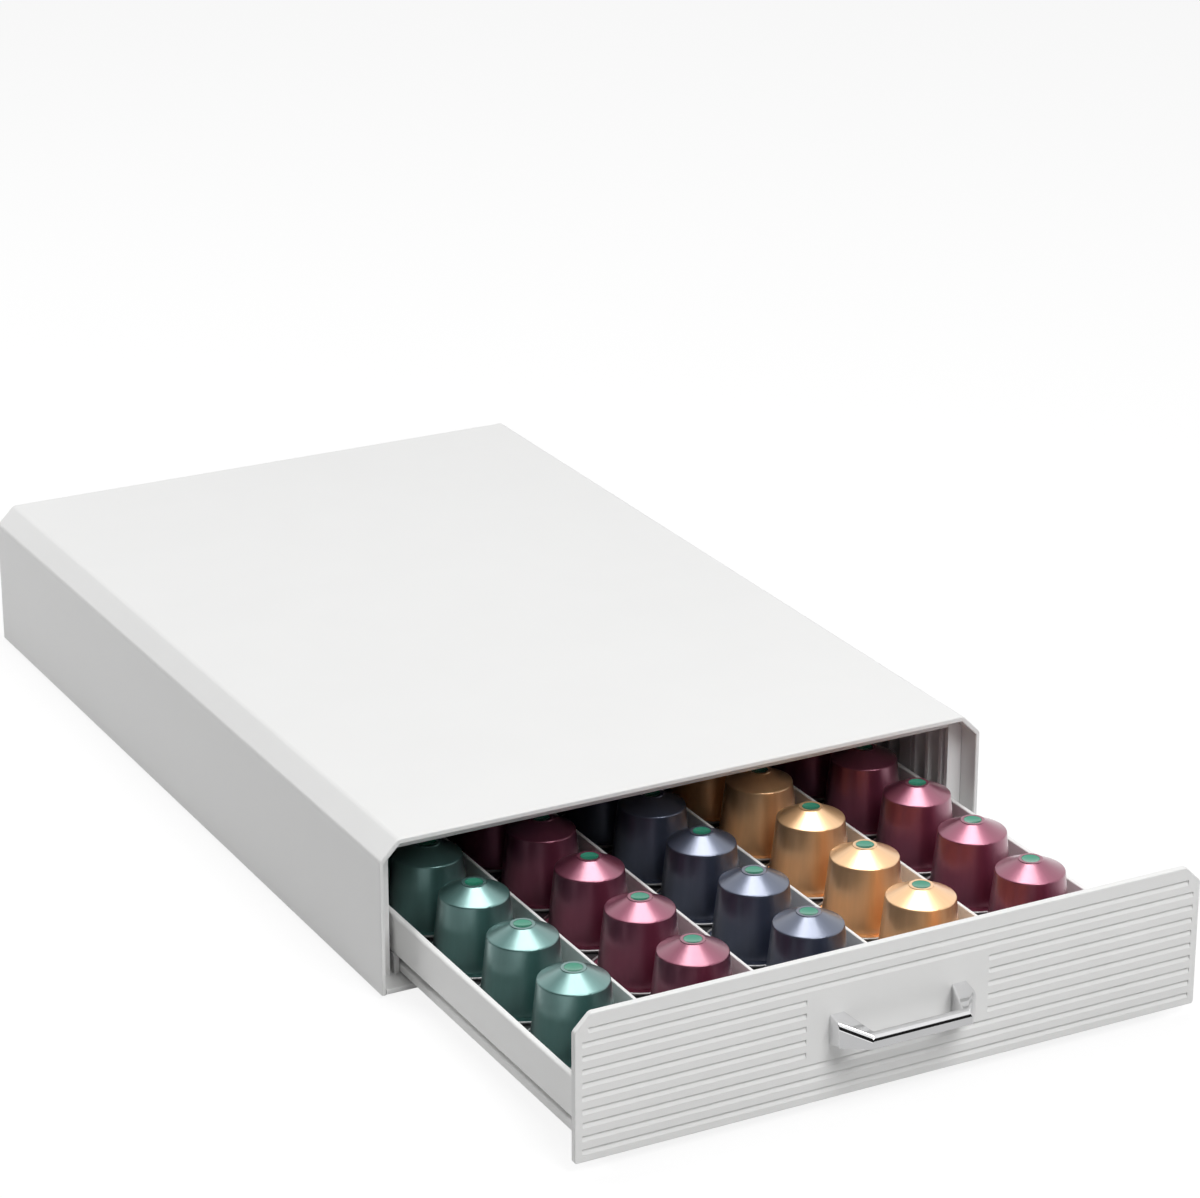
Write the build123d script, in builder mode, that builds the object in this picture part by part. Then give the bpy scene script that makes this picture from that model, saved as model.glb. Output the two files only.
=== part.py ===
"""Coffee capsule dispenser: a low cabinet with one wide drawer, whose lanes hold capsules upside down.

Millimetres, +Z up, front towards -Y. The origin lies on the table, under the middle of the whole part with its
drawer open as it rests.
"""

import os
from math import sqrt

from build123d import *

# Fits shared by many pieces
seam = 0.1  # between two pieces that are fixed to each other
overrun = 1.0  # how far a cut runs past the face it opens

# Capsules
rim_diameter = 37.0
rim_bead = 1.2  # height of the rolled rim
foil_thickness = 0.4
cup_height = 28.7  # from the foil to the top of the nipple
cup_wall = 0.5
cup_rim_step = 3.5  # from the rim in to the foot of the cup's wall
cup_lean = 2.55  # how far the wall leans in up to the shoulder
cup_shoulder_height = 24.4
cup_shoulder_round = 0.7
cup_cone_height = 4.0
cup_nipple_diameter = 8.9  # where the cone meets the nipple
cup_nipple_taper = 0.15
cup_nipple_round = 0.3
cup_dot_diameter = 6.6  # shallow seat for the coloured dot on the nipple
cup_dot_recess = 0.5
cup_flange_gap = 0.2  # from the flange out to the rolled rim
cup_flange_thickness = 0.5
capsule_gap = 0.2  # between neighbours in a lane

# Lanes
lane_count = 5
row_count = 10
filled_rows = 6
lane_side_gap = 3.46  # from a capsule's rim to the divider beside it
outer_lane_gap = 2.06  # from a capsule's rim to the drawer's side
divider_thickness = 1.3
divider_height = 12.6
divider_round = 0.4
lane_end_gap = 0.3

# Drawer tray
side_wall = 2.2
side_height = 15.3
side_top_round = 0.5
side_brow_round = 1.2  # upper outer edge
side_corner_round = 2.5
side_rebate_width = 0.5  # cut along the lower outer edge
side_rebate_height = 0.9
floor_thickness = 1.2
skirt_thickness = 1.6
skirt_inset = 2.0  # from the outer edge of the skirt's lip in to its web
skirt_lip_height = 3.2
skirt_lip_round = 0.8
skirt_floor_gap = 0.6
drawer_back_thickness = 1.6
horn_width = 12.0
horn_inset = 12.0
horn_roof_gap = 0.8
lug_width = 10.0
lug_depth = 4.0
lug_inset = 4.0

# Front panel
panel_thickness = 2.2
panel_side_gap = 0.4
panel_bottom_gap = 0.6
panel_top_gap = 1.0
panel_corner_gap = 0.66
panel_cut_round = 2.0
panel_foot_round = 1.0
panel_edge_round = 0.5
groove_count = 10
groove_depth = 0.85
groove_upper_flank = 0.5
groove_lower_flank = 1.6
groove_margin = 2.7
plank_top = 5.4
plank_bottom = 4.3
pad_width = 70.4
pad_first_groove = 3  # grooves from here stop at the plain area for the handle
pad_last_groove = 7
tongue_length = 12.0
tongue_height = 12.0
tongue_thickness = 1.5
tongue_rise = 1.5

# Pull handle
handle_rise = 25.4  # its middle above the panel's lower edge
handle_projection = 15.4
handle_block_depth = 6.0  # straight part of its two feet
handle_root_height = 11.1
handle_bar_height = 4.0
handle_root_span = 53.0
handle_root_width = 5.8
handle_bar_span = 38.4
handle_bar_depth = 3.8
handle_leg_width = 2.2  # between bar's outer and inner corner, along X
handle_brow_round = 2.1  # upper front edge of the bar and legs
handle_round = 0.6
handle_screw_radius = 1.5
handle_screw_depth = 5.0
handle_screw_head_radius = 2.8
handle_screw_head_height = 2.0
tangent_angle = 8  # degrees under which two faces count as running smoothly into each other

# Cabinet
shell_wall = 1.6
roof_thickness = 2.0
edge_cut = 7.4  # 45 degree cut along the two long top edges
edge_round = 2.5
mouth_round = 0.5
headroom = 16.2  # between the capsules and the roof
base_thickness = 2.0
back_thickness = 1.8
rib_reach = 5.9
rib_pitch = 9.0
rib_thickness = 1.9
rib_web = 1.0
rib_start = 4.3  # from the front of the post to the first rib
post_setback = 9.7
post_thickness = 2.0
lintel_drop = 6.0
column_length = 6.0  # screw columns among the ribs
column_depth_shares = (0.1, 0.5, 0.9)
rear_block_depth = 10.0
rail_height = 7.6
rail_width = 1.8
rail_wall_gap = 1.8
rail_lead = 1.2
rail_end_gap = 6.0
drawer_side_gap = 1.7
running_gap = 0.3
skirt_rail_gap = 0.4
foot_drop = 1.5
foot_recess = 0.8
foot_radius = 6.0
foot_edge = 0.4
foot_side_inset = 20.0
foot_end_inset = 22.0
bumper_thickness = 1.6
bumper_gap = 0.4  # left when the drawer is closed
bumper_radius = 5.0
bumper_edge = 0.4
stop_depth = 6.0
stop_height = 5.0
stop_gap = 0.3
stop_slope_share = 0.5  # of the stop's depth taken by its front slope
screw_radius = 1.1
screw_fit = 0.05
screw_depth = 7.0
screw_head_radius = 2.2
screw_head_angle = 90
drive_reach_share = 0.62  # of a screw head's radius taken by its cross drive
drive_width = 0.7
drive_depth = 0.7
back_screw_height_shares = (0.25, 0.75)

# Travel of the drawer
drawer_opening = 140.6  # how far it stands open at rest
drawer_travel = 250.0  # from closed to the stops

# Widths, from the lanes outwards
lane_width = rim_diameter + 2 * lane_side_gap
lane_pitch = lane_width + divider_thickness
side_inner_x = (lane_count - 1) * lane_pitch / 2 + rim_diameter / 2 + outer_lane_gap
side_outer_x = side_inner_x + side_wall
rib_face_x = side_outer_x + drawer_side_gap
rib_root_x = rib_face_x + rib_reach
shell_inner_x = rib_root_x + seam
cabinet_width = 2 * (shell_inner_x + shell_wall)
rail_outer_x = rib_face_x - rail_wall_gap
rail_inner_x = rail_outer_x - rail_width
skirt_outer_x = rail_inner_x - skirt_rail_gap
web_outer_x = skirt_outer_x - skirt_inset
web_inner_x = web_outer_x - skirt_thickness
panel_width = 2 * (shell_inner_x - panel_side_gap)

# Heights, from the table upwards
base_top = foot_drop + base_thickness
rail_top = base_top + rail_height
drawer_bottom = rail_top + running_gap
lane_floor = drawer_bottom + floor_thickness
capsule_top = lane_floor + foil_thickness + cup_height
roof_under = capsule_top + headroom
shell_height = roof_under + roof_thickness - foot_drop
skirt_bottom = base_top + skirt_floor_gap
side_top = drawer_bottom + side_height
panel_bottom = base_top + panel_bottom_gap
panel_height = roof_under - panel_top_gap - panel_bottom
handle_z = panel_bottom + handle_rise

# Cuts at the top corners, kept parallel from the shell in to the panel
inner_cut = edge_cut - shell_wall * (2 - sqrt(2))
lining_cut = inner_cut - seam * (2 - sqrt(2))
panel_cut = inner_cut + panel_corner_gap * sqrt(2) - panel_side_gap - panel_top_gap

# Depths, from the drawer's front to the cabinet's rear
row_pitch = rim_diameter + capsule_gap
lane_length = row_count * row_pitch - capsule_gap + 2 * lane_end_gap
drawer_length = panel_thickness + lane_length + drawer_back_thickness
cabinet_depth = drawer_length + bumper_gap + bumper_thickness + back_thickness
drawer_reach = drawer_opening + handle_projection
part_length = cabinet_depth + drawer_reach
front_y = drawer_reach - part_length / 2
rear_y = part_length / 2
middle_y = (front_y + rear_y) / 2
lining_rear_y = rear_y - back_thickness - seam
post_y = front_y + post_setback
panel_y = front_y - drawer_opening
panel_back_y = panel_y + panel_thickness
lane_end_y = panel_back_y + lane_length
drawer_end_y = panel_y + drawer_length
stop_y = drawer_end_y - lug_depth + drawer_opening - drawer_travel - stop_gap

# Places used by more than one piece
screw_x = (rib_face_x + rib_root_x) / 2
column_ys = [front_y + share * cabinet_depth for share in column_depth_shares]
base_screw_places = [(side * screw_x, y) for side in (-1, 1) for y in column_ys]
back_screw_zs = [base_top + share * (roof_under - base_top) for share in back_screw_height_shares]
back_screw_places = [(side * screw_x, z) for side in (-1, 1) for z in back_screw_zs]
foot_x = cabinet_width / 2 - foot_side_inset
foot_ys = {"front": front_y + foot_end_inset, "rear": rear_y - foot_end_inset}
bumper_x = side_inner_x - horn_inset - horn_width / 2
bumper_z = (drawer_bottom + side_top) / 2
stop_x = web_inner_x - lug_inset - lug_width / 2
lane_xs = [(lane - (lane_count - 1) / 2) * lane_pitch for lane in range(lane_count)]
row_ys = [panel_back_y + lane_end_gap + rim_diameter / 2 + row * row_pitch for row in range(filled_rows)]
handle_screw_x = (handle_root_span - handle_root_width) / 2
groove_pitch = (panel_height - plank_top - plank_bottom) / (groove_count - 1)
groove_zs = [panel_bottom + plank_bottom + groove * groove_pitch for groove in range(groove_count)]

os.makedirs("parts", exist_ok=True)


def facing_front(y, z=0):
    """Plane across the part at depth y, seen from the front, with its local y = 0 at height z."""
    return Plane(origin=(0, y, z), x_dir=(1, 0, 0), z_dir=(0, -1, 0))


def arch(width, height, cut):
    """Outline of a box section with both top corners cut at 45 degrees, standing on local y = 0."""
    half = width / 2
    Polyline(
        (-half, 0),
        (-half, height - cut),
        (-half + cut, height),
        (half - cut, height),
        (half, height - cut),
        (half, 0),
        close=True,
    )


def save(builder, name):
    """Label a finished piece and write it under its own name."""
    builder.part.label = name
    export_step(builder.part, f"parts/{name}.step")


# Cabinet shell: roof and two sides in one moulding, open at the front, the rear and below
with BuildPart() as cabinet_shell:
    with BuildSketch(facing_front(rear_y, foot_drop)) as shell_section:
        with BuildLine():
            arch(cabinet_width, shell_height, edge_cut)
        make_face()
        fillet(shell_section.vertices().sort_by(Axis.Y)[2:], edge_round)
        with BuildLine():
            arch(2 * shell_inner_x, shell_height - roof_thickness, inner_cut)
        make_face(mode=Mode.SUBTRACT)
    extrude(amount=cabinet_depth)
    mouth = cabinet_shell.faces().sort_by(Axis.Y)[0]
    fillet(mouth.edges().sort_by(Axis.Z)[2:], mouth_round)
save(cabinet_shell, "cabinet_shell")

# Base plate: lies between the shell's sides, with recesses for the feet and countersunk screw holes
with BuildPart() as base_plate:
    with BuildSketch(Plane.XY.offset(foot_drop)):
        with Locations((0, middle_y)):
            Rectangle(2 * (shell_inner_x - seam), cabinet_depth)
    extrude(amount=base_thickness)
    fillet(base_plate.edges().filter_by(Axis.X).group_by(Axis.Y)[0], mouth_round)
    with BuildSketch(Plane.XY.offset(foot_drop)):
        with Locations(*[(side * foot_x, y) for side in (-1, 1) for y in foot_ys.values()]):
            Circle(foot_radius + seam)
    extrude(amount=foot_recess, mode=Mode.SUBTRACT)
    with Locations(*[Location((x, y, foot_drop), (180, 0, 0)) for x, y in base_screw_places]):
        CounterSinkHole(
            screw_radius + screw_fit,
            screw_head_radius + screw_fit,
            depth=base_thickness,
            counter_sink_angle=screw_head_angle,
        )
save(base_plate, "base_plate")

# Back panel: stands on the base plate and fills the shell's rear end
with BuildPart() as back_panel:
    with BuildSketch(facing_front(rear_y, foot_drop)):
        with BuildLine():
            arch(2 * (shell_inner_x - seam), shell_height - roof_thickness - seam, lining_cut)
        make_face()
        Rectangle(
            cabinet_width,
            2 * (base_thickness + seam),
            mode=Mode.SUBTRACT,
        )
    extrude(amount=back_thickness)
    with Locations(*[Location((x, rear_y, z), (-90, 0, 0)) for x, z in back_screw_places]):
        CounterSinkHole(
            screw_radius + screw_fit,
            screw_head_radius + screw_fit,
            depth=back_thickness,
            counter_sink_angle=screw_head_angle,
        )
save(back_panel, "back_panel")

# Ribbed inner walls: a web against the shell, upright ribs, a front post, screw columns and a rear block
rib_middle_x = (rib_face_x + rib_root_x) / 2
first_rib_y = post_y + rib_start + rib_thickness / 2
rib_total = int((lining_rear_y - rear_block_depth - first_rib_y) // rib_pitch) + 1
with BuildPart() as right_rib_wall:
    with BuildSketch(Plane.XY.offset(base_top)):
        with Locations((rib_root_x - rib_web / 2, (post_y + lining_rear_y) / 2)):
            Rectangle(rib_web, lining_rear_y - post_y)
        with Locations((rib_middle_x, post_y + post_thickness / 2)):
            Rectangle(rib_reach, post_thickness)
        with Locations(*[(rib_middle_x, first_rib_y + rib * rib_pitch) for rib in range(rib_total)]):
            Rectangle(rib_reach, rib_thickness)
        with Locations(*[(rib_middle_x, y) for y in column_ys]):
            Rectangle(rib_reach, column_length)
        with Locations((rib_middle_x, lining_rear_y - rear_block_depth / 2)):
            Rectangle(rib_reach, rear_block_depth)
    extrude(amount=roof_under - base_top)
    with BuildSketch(facing_front(rear_y, foot_drop)):
        with BuildLine():
            arch(2 * rib_root_x, shell_height - roof_thickness - seam, lining_cut)
        make_face()
    extrude(amount=cabinet_depth, mode=Mode.INTERSECT)
    with BuildSketch(Plane.XY.offset(base_top)):
        with Locations(*[(screw_x, y) for y in column_ys]):
            Circle(screw_radius + screw_fit)
    extrude(amount=screw_depth + overrun, mode=Mode.SUBTRACT)
    with BuildSketch(facing_front(lining_rear_y)):
        with Locations(*[(screw_x, z) for z in back_screw_zs]):
            Circle(screw_radius + screw_fit)
    extrude(amount=screw_depth + overrun, mode=Mode.SUBTRACT)
save(right_rib_wall, "right_rib_wall")

with BuildPart() as left_rib_wall:
    mirror(right_rib_wall.part, about=Plane.YZ)
save(left_rib_wall, "left_rib_wall")

# Lintel: bar under the roof between the two front posts
with BuildPart() as mouth_lintel:
    with BuildSketch(facing_front(post_y + post_thickness, roof_under - seam)):
        Rectangle(2 * (rib_face_x - seam), lintel_drop, align=(Align.CENTER, Align.MAX))
    extrude(amount=post_thickness)
    with BuildSketch(facing_front(rear_y, foot_drop)):
        with BuildLine():
            arch(2 * rib_root_x, shell_height - roof_thickness - seam, lining_cut)
        make_face()
    extrude(amount=cabinet_depth, mode=Mode.INTERSECT)
    fillet(mouth_lintel.edges().filter_by(Axis.X).group_by(Axis.Z)[0], mouth_round)
save(mouth_lintel, "mouth_lintel")

# Rails: strips on the base plate under the drawer's sides, with a sloped lead-in at the front
with BuildPart() as right_rail:
    with BuildSketch(Plane.XY.offset(base_top)):
        with Locations(((rail_inner_x + rail_outer_x) / 2, (post_y + lining_rear_y - rail_end_gap) / 2)):
            Rectangle(rail_width, lining_rear_y - rail_end_gap - post_y)
    extrude(amount=rail_height)
    chamfer(right_rail.edges().filter_by(Axis.X).group_by(Axis.Y)[0].sort_by(Axis.Z)[-1], rail_lead)
save(right_rail, "right_rail")

with BuildPart() as left_rail:
    mirror(right_rail.part, about=Plane.YZ)
save(left_rail, "left_rail")

# Drawer stops: wedges on the base plate that the lugs under the drawer meet when it is pulled out
with BuildPart() as right_drawer_stop:
    with BuildSketch(Plane.YZ.offset(stop_x - lug_width / 2)):
        with BuildLine():
            Polyline(
                (stop_y, base_top),
                (stop_y, base_top + stop_height),
                (stop_y - stop_depth * (1 - stop_slope_share), base_top + stop_height),
                (stop_y - stop_depth, base_top),
                close=True,
            )
        make_face()
    extrude(amount=lug_width)
save(right_drawer_stop, "right_drawer_stop")

with BuildPart() as left_drawer_stop:
    mirror(right_drawer_stop.part, about=Plane.YZ)
save(left_drawer_stop, "left_drawer_stop")

# Bumpers on the back panel, where the closed drawer comes to rest
for side_name, side in (("left", -1), ("right", 1)):
    with BuildPart() as bumper:
        with BuildSketch(facing_front(rear_y - back_thickness)):
            with Locations((side * bumper_x, bumper_z)):
                Circle(bumper_radius)
        extrude(amount=bumper_thickness)
        fillet(bumper.faces().sort_by(Axis.Y)[0].edges(), bumper_edge)
    save(bumper, f"{side_name}_bumper")

# Rubber feet, set into the base plate
for side_name, side in (("left", -1), ("right", 1)):
    for end_name, end_y in foot_ys.items():
        with BuildPart() as foot:
            with BuildSketch(Plane.XY):
                with Locations((side * foot_x, end_y)):
                    Circle(foot_radius)
            extrude(amount=foot_drop + foot_recess)
            fillet(foot.faces().sort_by(Axis.Z)[0].edges(), foot_edge)
        save(foot, f"{end_name}_{side_name}_foot")


def countersunk_screw(plate, depth):
    """Profile of a countersunk screw from its axis outwards: flat head at local y = 0, shank towards +y."""
    Polyline(
        (0, 0),
        (screw_head_radius, 0),
        (screw_radius, screw_head_radius - screw_radius),
        (screw_radius, plate + depth - screw_radius),
        (0, plate + depth),
        close=True,
    )


def cross_drive(head_radius):
    """Outline of the cross in the middle of a screw's head."""
    for turn in (0, 90):
        Rectangle(2 * drive_reach_share * head_radius, drive_width, rotation=turn)


# Screws through the base plate into the columns of the ribbed walls
with BuildPart() as base_screws:
    for x, y in base_screw_places:
        with BuildSketch(Plane(origin=(x, y, foot_drop), x_dir=(1, 0, 0), z_dir=(0, -1, 0))):
            with BuildLine():
                countersunk_screw(base_thickness, screw_depth)
            make_face()
        revolve(axis=Axis((x, y, foot_drop), (0, 0, 1)))
    with BuildSketch(Plane.XY.offset(foot_drop)):
        with Locations(*base_screw_places):
            cross_drive(screw_head_radius)
    extrude(amount=drive_depth, mode=Mode.SUBTRACT)
save(base_screws, "base_screws")

# Screws through the back panel into the rear blocks of the ribbed walls
with BuildPart() as back_screws:
    for x, z in back_screw_places:
        with BuildSketch(Plane(origin=(x, rear_y, z), x_dir=(1, 0, 0), z_dir=(0, 0, -1))):
            with BuildLine():
                countersunk_screw(back_thickness, screw_depth)
            make_face()
        revolve(axis=Axis((x, rear_y, z), (0, 1, 0)))
    with BuildSketch(facing_front(rear_y)):
        with Locations(*back_screw_places):
            cross_drive(screw_head_radius)
    extrude(amount=drive_depth, mode=Mode.SUBTRACT)
save(back_screws, "back_screws")

# Drawer floor: dark plate between the sides, with two lugs below for the stops
tray_length = drawer_end_y - panel_back_y - seam
skirt_height = drawer_bottom - skirt_bottom
with BuildPart() as drawer_floor:
    with BuildSketch(facing_front(drawer_end_y, drawer_bottom)):
        Rectangle(2 * (side_inner_x - seam), floor_thickness, align=(Align.CENTER, Align.MIN))
    extrude(amount=tray_length)
    with BuildSketch(facing_front(drawer_end_y, skirt_bottom)):
        with Locations(*[(side * stop_x, 0) for side in (-1, 1)]):
            Rectangle(lug_width, skirt_height, align=(Align.CENTER, Align.MIN))
    extrude(amount=lug_depth)
save(drawer_floor, "drawer_floor")

# Skirts: webs under the floor, whose lips run between the rails
with BuildPart() as right_skirt:
    with BuildSketch(facing_front(drawer_end_y, skirt_bottom)) as skirt_end:
        with BuildLine():
            Polyline(
                (web_inner_x, 0),
                (skirt_outer_x, 0),
                (skirt_outer_x, skirt_lip_height),
                (web_outer_x, skirt_lip_height),
                (web_outer_x, skirt_height),
                (web_inner_x, skirt_height),
                close=True,
            )
        make_face()
        lip_edge = skirt_end.vertices().sort_by_distance((skirt_outer_x, skirt_lip_height))[0]
        fillet(lip_edge, skirt_lip_round)
    extrude(amount=tray_length)
save(right_skirt, "right_skirt")

with BuildPart() as left_skirt:
    mirror(right_skirt.part, about=Plane.YZ)
save(left_skirt, "left_skirt")

# Drawer sides: run on the rails, with a rounded top edge and front corner and a rebate along the outside below
with BuildPart() as right_drawer_side:
    with BuildSketch(Plane.YZ.offset(side_inner_x)) as side_face:
        with BuildLine():
            Polyline(
                (panel_back_y + seam, drawer_bottom),
                (panel_back_y + seam, side_top),
                (drawer_end_y, side_top),
                (drawer_end_y, drawer_bottom),
                close=True,
            )
        make_face()
        fillet(side_face.vertices().group_by(Axis.X)[0].sort_by(Axis.Y)[-1], side_corner_round)
    extrude(amount=side_wall)
    top_edges = right_drawer_side.edges().filter_by(Axis.Y).group_by(Axis.Z)[-1].sort_by(Axis.X)
    fillet(top_edges[0], side_top_round)
    fillet(top_edges[-1], side_brow_round)
    with BuildSketch(facing_front(drawer_end_y, drawer_bottom)):
        with Locations((side_outer_x, 0)):
            Rectangle(2 * side_rebate_width, 2 * side_rebate_height)
    extrude(amount=tray_length, mode=Mode.SUBTRACT)
save(right_drawer_side, "right_drawer_side")

with BuildPart() as left_drawer_side:
    mirror(right_drawer_side.part, about=Plane.YZ)
save(left_drawer_side, "left_drawer_side")

# Drawer back: stands on the floor between the sides, with two horns that run close under the roof
with BuildPart() as drawer_back:
    with BuildSketch(facing_front(drawer_end_y, lane_floor)):
        Rectangle(2 * (side_inner_x - seam), side_top - lane_floor, align=(Align.CENTER, Align.MIN))
        with Locations(*[(side * (side_inner_x - horn_inset - horn_width / 2), 0) for side in (-1, 1)]):
            Rectangle(horn_width, roof_under - horn_roof_gap - lane_floor, align=(Align.CENTER, Align.MIN))
    extrude(amount=drawer_back_thickness)
save(drawer_back, "drawer_back")

# Lane dividers: thin strips on the floor from the panel to the back, with a rounded top edge
for number in range(1, lane_count):
    divider_x = (lane_xs[number - 1] + lane_xs[number]) / 2
    with BuildPart() as divider:
        with BuildSketch(Plane.XY.offset(lane_floor)):
            with Locations((divider_x, (panel_back_y + lane_end_y) / 2)):
                Rectangle(divider_thickness, lane_length - 2 * seam)
        extrude(amount=divider_height)
        fillet(divider.edges().filter_by(Axis.Y).group_by(Axis.Z)[-1], divider_round)
    save(divider, f"lane_divider_{number}")


def groove(z):
    """Lopsided V profile of the groove at height z, drawn on a plane across X."""
    Polyline(
        (panel_y - overrun, z + groove_upper_flank),
        (panel_y, z + groove_upper_flank),
        (panel_y + groove_depth, z),
        (panel_y, z - groove_lower_flank),
        (panel_y - overrun, z - groove_lower_flank),
        close=True,
    )


# Front panel: cut top corners like the shell's, level grooves and a plain area for the handle
panel_top = panel_bottom + panel_height
groove_end_x = panel_width / 2 - groove_margin
top_groove_rise = groove_zs[-1] + groove_upper_flank - (panel_top - panel_cut)
top_groove_end_x = groove_end_x - max(top_groove_rise, 0) - groove_margin * (sqrt(2) - 1)
pad_grooves = range(pad_first_groove, pad_last_groove + 1)
long_grooves = [groove for groove in range(groove_count - 1) if groove not in pad_grooves]
with BuildPart() as front_panel:
    with BuildSketch(facing_front(panel_back_y, panel_bottom)) as panel_face:
        with BuildLine():
            arch(panel_width, panel_height, panel_cut)
        make_face()
        fillet(panel_face.vertices().sort_by(Axis.Y)[2:], panel_cut_round)
        fillet(panel_face.vertices().sort_by(Axis.Y)[:2], panel_foot_round)
    extrude(amount=panel_thickness)
    fillet(front_panel.faces().sort_by(Axis.Y)[0].edges(), panel_edge_round)
    for groove_numbers, start_x, end_x in (
        (long_grooves, -groove_end_x, groove_end_x),
        ([groove_count - 1], -top_groove_end_x, top_groove_end_x),
        (pad_grooves, -groove_end_x, -pad_width / 2),
        (pad_grooves, pad_width / 2, groove_end_x),
    ):
        with BuildSketch(Plane.YZ.offset(start_x)):
            for number in groove_numbers:
                with BuildLine():
                    groove(groove_zs[number])
                make_face()
        extrude(amount=end_x - start_x, mode=Mode.SUBTRACT)
    with BuildSketch(Plane.XY.offset(lane_floor + tongue_rise)):
        for side in (-1, 1):
            tongue_x = side * (side_inner_x - seam - tongue_thickness / 2)
            with Locations((tongue_x, panel_back_y + tongue_length / 2)):
                Rectangle(tongue_thickness, tongue_length)
    extrude(amount=tongue_height)
    with BuildSketch(facing_front(panel_back_y)):
        with Locations(*[(side * handle_screw_x, handle_z) for side in (-1, 1)]):
            Circle(handle_screw_radius + screw_fit)
    extrude(amount=panel_thickness, mode=Mode.SUBTRACT)
save(front_panel, "front_panel")


def sharp_edges(solid, root_y):
    """Edges where two faces of the solid meet at an angle, leaving out those on its root plane."""
    found = []
    for edge in solid.edges():
        if edge.bounding_box().min.Y > root_y - handle_round:
            continue
        middle = edge.position_at(0.5)
        sides = [face for face in solid.faces() if any(edge.is_same(other) for other in face.edges())]
        if sides[0].normal_at(middle).get_angle(sides[-1].normal_at(middle)) > tangent_angle:
            found.append(edge)
    return found


# Pull handle: two straight feet, legs that lean in to a bar, tall at the panel and slim at the front
root_half = handle_root_span / 2
bar_half = handle_bar_span / 2
block_y = panel_y - handle_block_depth
handle_y = panel_y - handle_projection
bar_back_y = handle_y + handle_bar_depth
inner_root_half = root_half - handle_root_width
inner_bar_half = bar_half - handle_leg_width
with BuildPart() as pull_handle:
    with BuildSketch(Plane.XY.offset(handle_z - handle_root_height / 2)):
        with BuildLine():
            Polyline(
                (-root_half, panel_y),
                (-root_half, block_y),
                (-bar_half, handle_y),
                (bar_half, handle_y),
                (root_half, block_y),
                (root_half, panel_y),
                (inner_root_half, panel_y),
                (inner_bar_half, bar_back_y),
                (-inner_bar_half, bar_back_y),
                (-inner_root_half, panel_y),
                close=True,
            )
        make_face()
    extrude(amount=handle_root_height)
    with BuildSketch(Plane.YZ.offset(-root_half)):
        with BuildLine():
            Polyline(
                (panel_y, handle_z - handle_root_height / 2),
                (handle_y, handle_z - handle_bar_height / 2),
                (handle_y, handle_z + handle_bar_height / 2),
                (panel_y, handle_z + handle_root_height / 2),
                close=True,
            )
        make_face()
    extrude(amount=handle_root_span, mode=Mode.INTERSECT)
    upper_edges = pull_handle.faces().sort_by(Axis.Z)[-1].edges()
    front_edge = upper_edges.sort_by(Axis.Y)[0]
    leg_edges = upper_edges.filter_by(lambda edge: edge.center().Y < block_y).sort_by(Axis.X)
    fillet([front_edge, leg_edges[0], leg_edges[-1]], handle_brow_round)
    fillet(sharp_edges(pull_handle.part, panel_y), handle_round)
    with BuildSketch(facing_front(panel_y)):
        with Locations(*[(side * handle_screw_x, handle_z) for side in (-1, 1)]):
            Circle(handle_screw_radius + screw_fit)
    extrude(amount=handle_screw_depth + overrun, mode=Mode.SUBTRACT)
save(pull_handle, "pull_handle")

# Handle screws: round heads behind the panel, shanks into the handle's roots
with BuildPart() as handle_screws:
    for side in (-1, 1):
        with BuildSketch(facing_front(panel_back_y)):
            with Locations((side * handle_screw_x, handle_z)):
                Circle(handle_screw_radius)
        extrude(amount=panel_thickness + handle_screw_depth)
        with BuildSketch(facing_front(panel_back_y + handle_screw_head_height)):
            with Locations((side * handle_screw_x, handle_z)):
                Circle(handle_screw_head_radius)
        extrude(amount=handle_screw_head_height)
    fillet(handle_screws.faces().group_by(Axis.Y)[-1].edges(), mouth_round)
    with BuildSketch(facing_front(panel_back_y + handle_screw_head_height)):
        with Locations(*[(side * handle_screw_x, handle_z) for side in (-1, 1)]):
            cross_drive(handle_screw_head_radius)
    extrude(amount=drive_depth, mode=Mode.SUBTRACT)
save(handle_screws, "handle_screws")

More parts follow.
